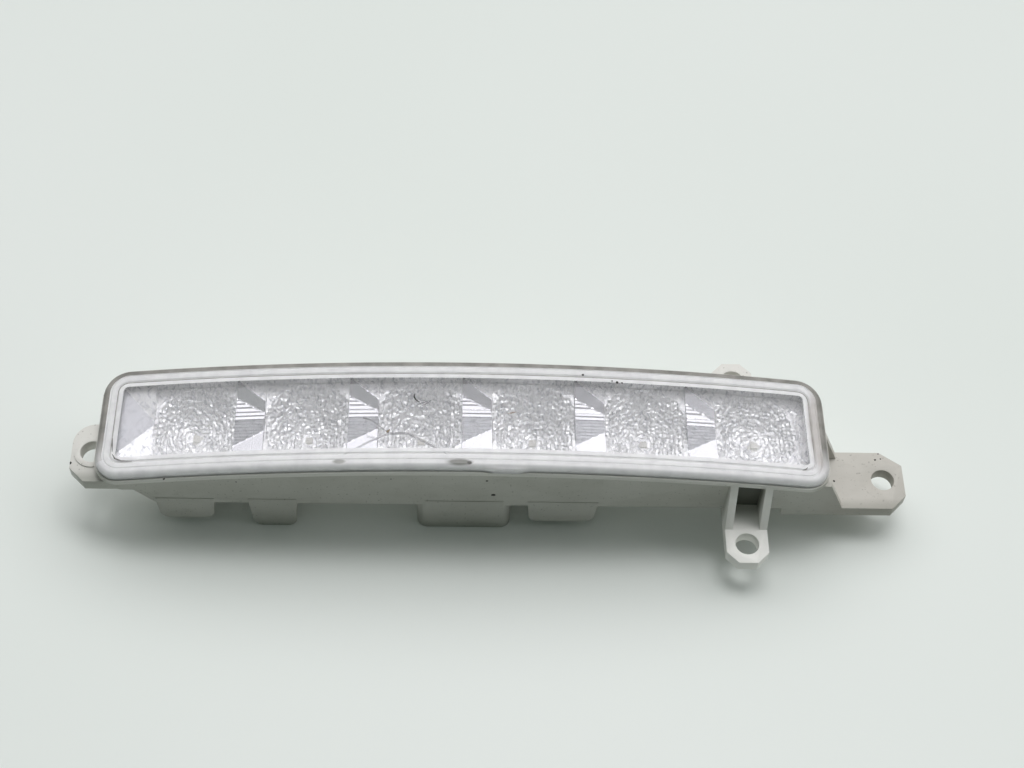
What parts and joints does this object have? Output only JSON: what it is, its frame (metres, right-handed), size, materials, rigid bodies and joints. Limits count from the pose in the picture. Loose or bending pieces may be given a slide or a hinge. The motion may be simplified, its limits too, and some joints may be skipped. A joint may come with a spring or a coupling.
{
  "type": "daytime running light",
  "caption": "Slim bowed car lamp: clear lens over a cupped reflector in a grey moulded housing, with holed fixing ears and a rear plug socket.",
  "frame": {"origin": "middle of the lamp's length and height, at the plane of its rear feet", "axes": "+X along the lamp to the ear that stands behind the lens end, +Y to the upper side, +Z out of the lens"},
  "size_m": [0.2294, 0.0652, 0.035],
  "materials": {
    "moulded_grey": "matte",
    "clear_acrylic": "gloss",
    "sealant": "satin",
    "metallised_plastic": "polished",
    "metal_core_board": "satin",
    "led_package": "gloss",
    "black_plastic": "satin",
    "tinned_brass": "satin",
    "ferrite": "satin",
    "capacitor_can": "satin",
    "plated_steel": "satin",
    "vent_film": "matte"
  },
  "bodies": {
    "root": {"housing": "moulded_grey", "outer_lens": "clear_acrylic", "lens_sealant": "sealant", "reflector": "metallised_plastic", "led_board": "metal_core_board", "led_1": "led_package", "led_2": "led_package", "led_3": "led_package", "led_4": "led_package", "led_5": "led_package", "led_6": "led_package", "pin_header": "black_plastic", "supply_pin": "tinned_brass", "dimming_pin": "tinned_brass", "ground_pin": "tinned_brass", "driver_chip": "black_plastic", "power_inductor": "ferrite", "input_capacitor": "capacitor_can", "reverse_diode": "black_plastic", "surge_diode": "black_plastic", "sense_resistors": "ferrite", "board_screws": "plated_steel", "vent_membrane": "vent_film"}
  },
  "joints": []
}
